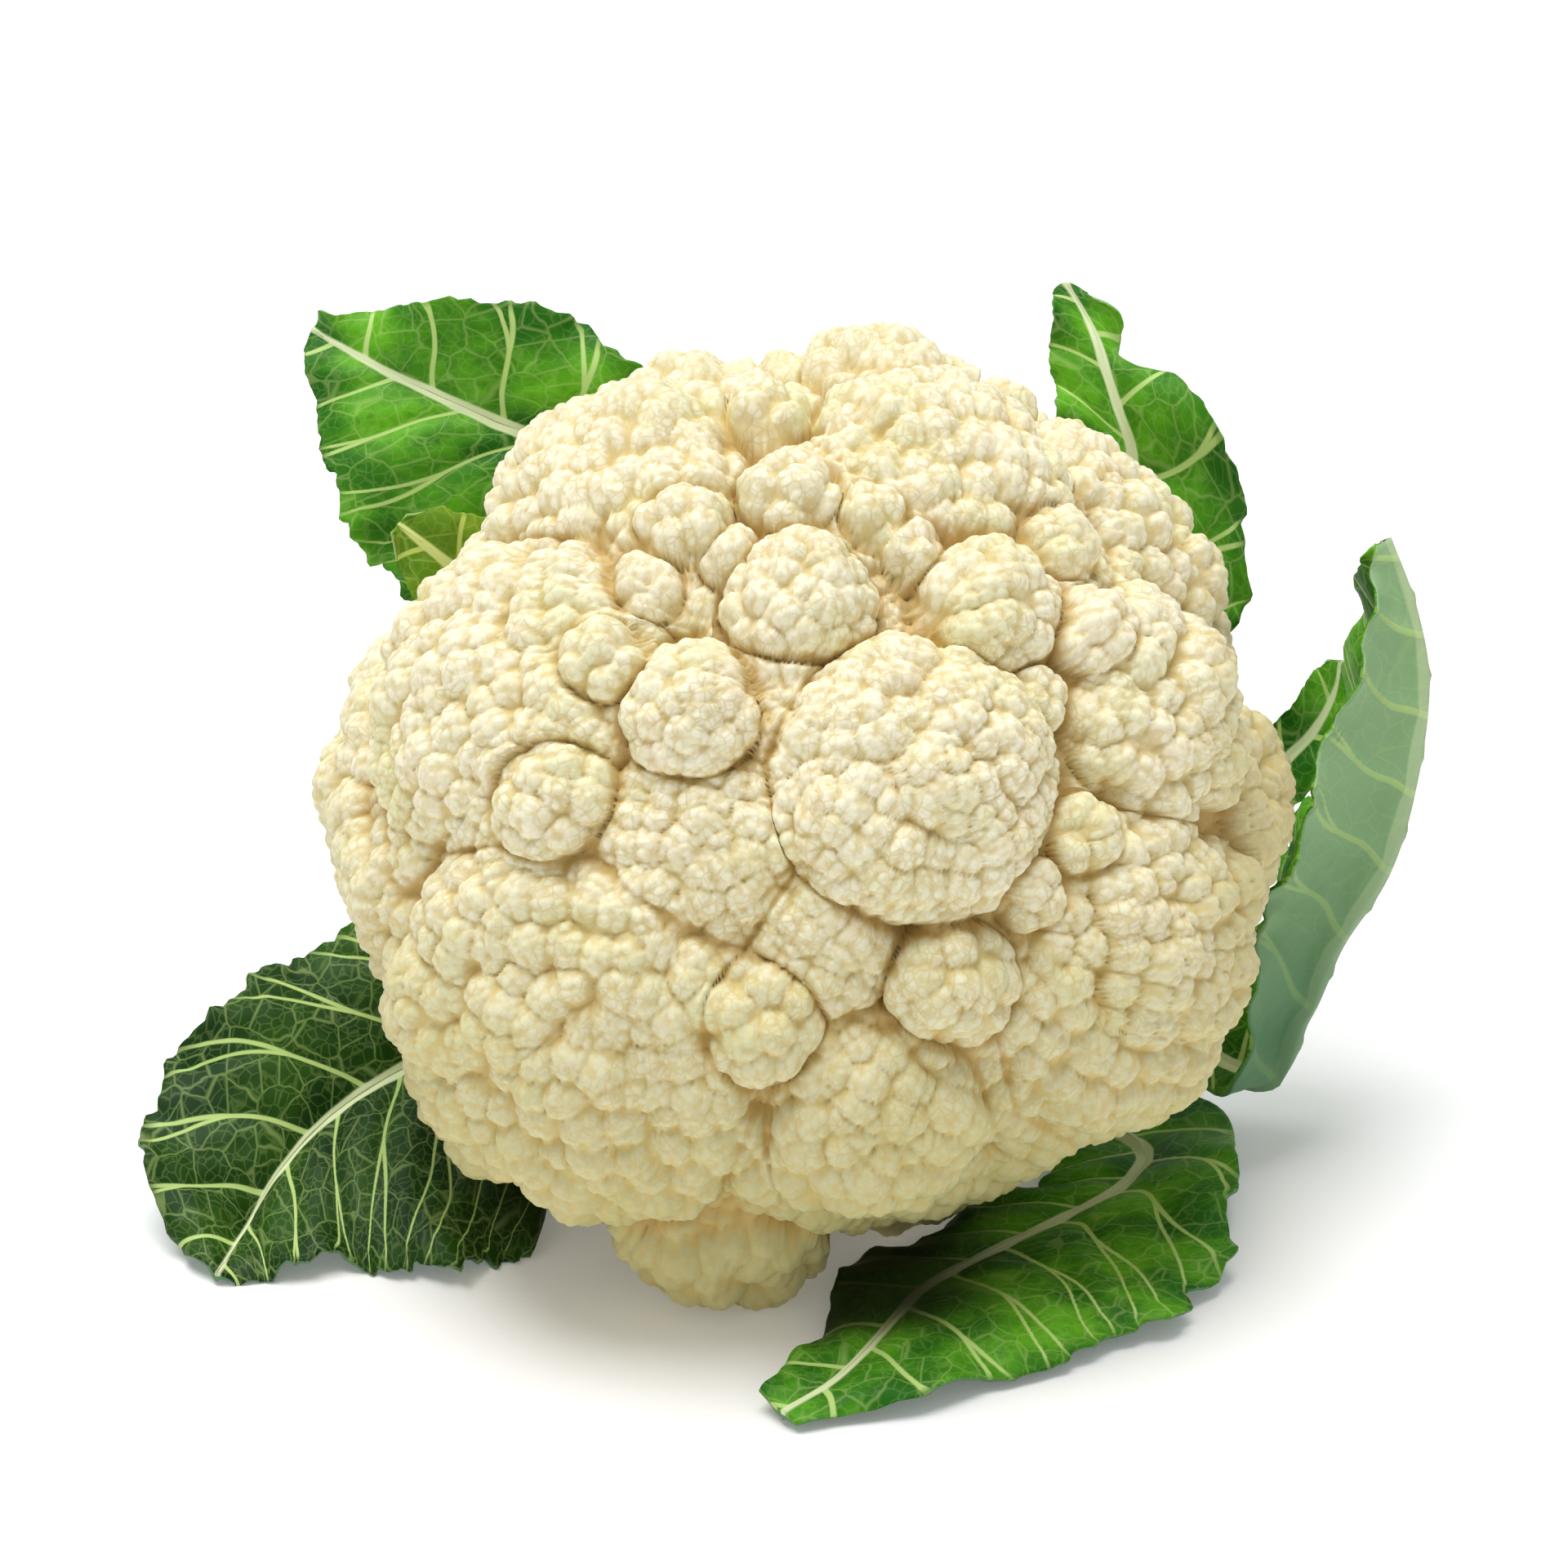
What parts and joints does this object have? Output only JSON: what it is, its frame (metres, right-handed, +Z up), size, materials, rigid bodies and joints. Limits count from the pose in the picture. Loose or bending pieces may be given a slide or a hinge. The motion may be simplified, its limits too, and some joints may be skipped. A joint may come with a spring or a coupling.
{
  "type": "cauliflower",
  "caption": "Head of cauliflower lying on its side: lumpy cream curd of florets on a short cut stump, with green leaves spread out behind it.",
  "frame": {"origin": "middle of the small flat spot on which the curd rests", "axes": "+Z up from the surface that the head lies on, -Y towards the front that the curd's crown faces, +X to the right as seen from that front"},
  "size_m": [0.2422, 0.1898, 0.1564],
  "materials": {
    "curd": "matte, grainy, slightly translucent",
    "stump": "smooth, waxy, damp at the cut",
    "leaf": "waxy, with pale veins",
    "young_leaf": "waxy, with pale veins"
  },
  "bodies": {
    "root": {"curd": "curd", "stump": "stump", "leaf_upper_left": "leaf", "leaf_small_left": "young_leaf", "leaf_upper_right": "leaf", "leaf_right": "leaf", "leaf_small_right": "leaf", "leaf_lower_right": "leaf", "leaf_lower_left": "leaf", "cut_base_top": "stump", "cut_base_left": "stump", "cut_base_lower_left": "stump", "cut_base_bottom": "stump"}
  },
  "joints": []
}
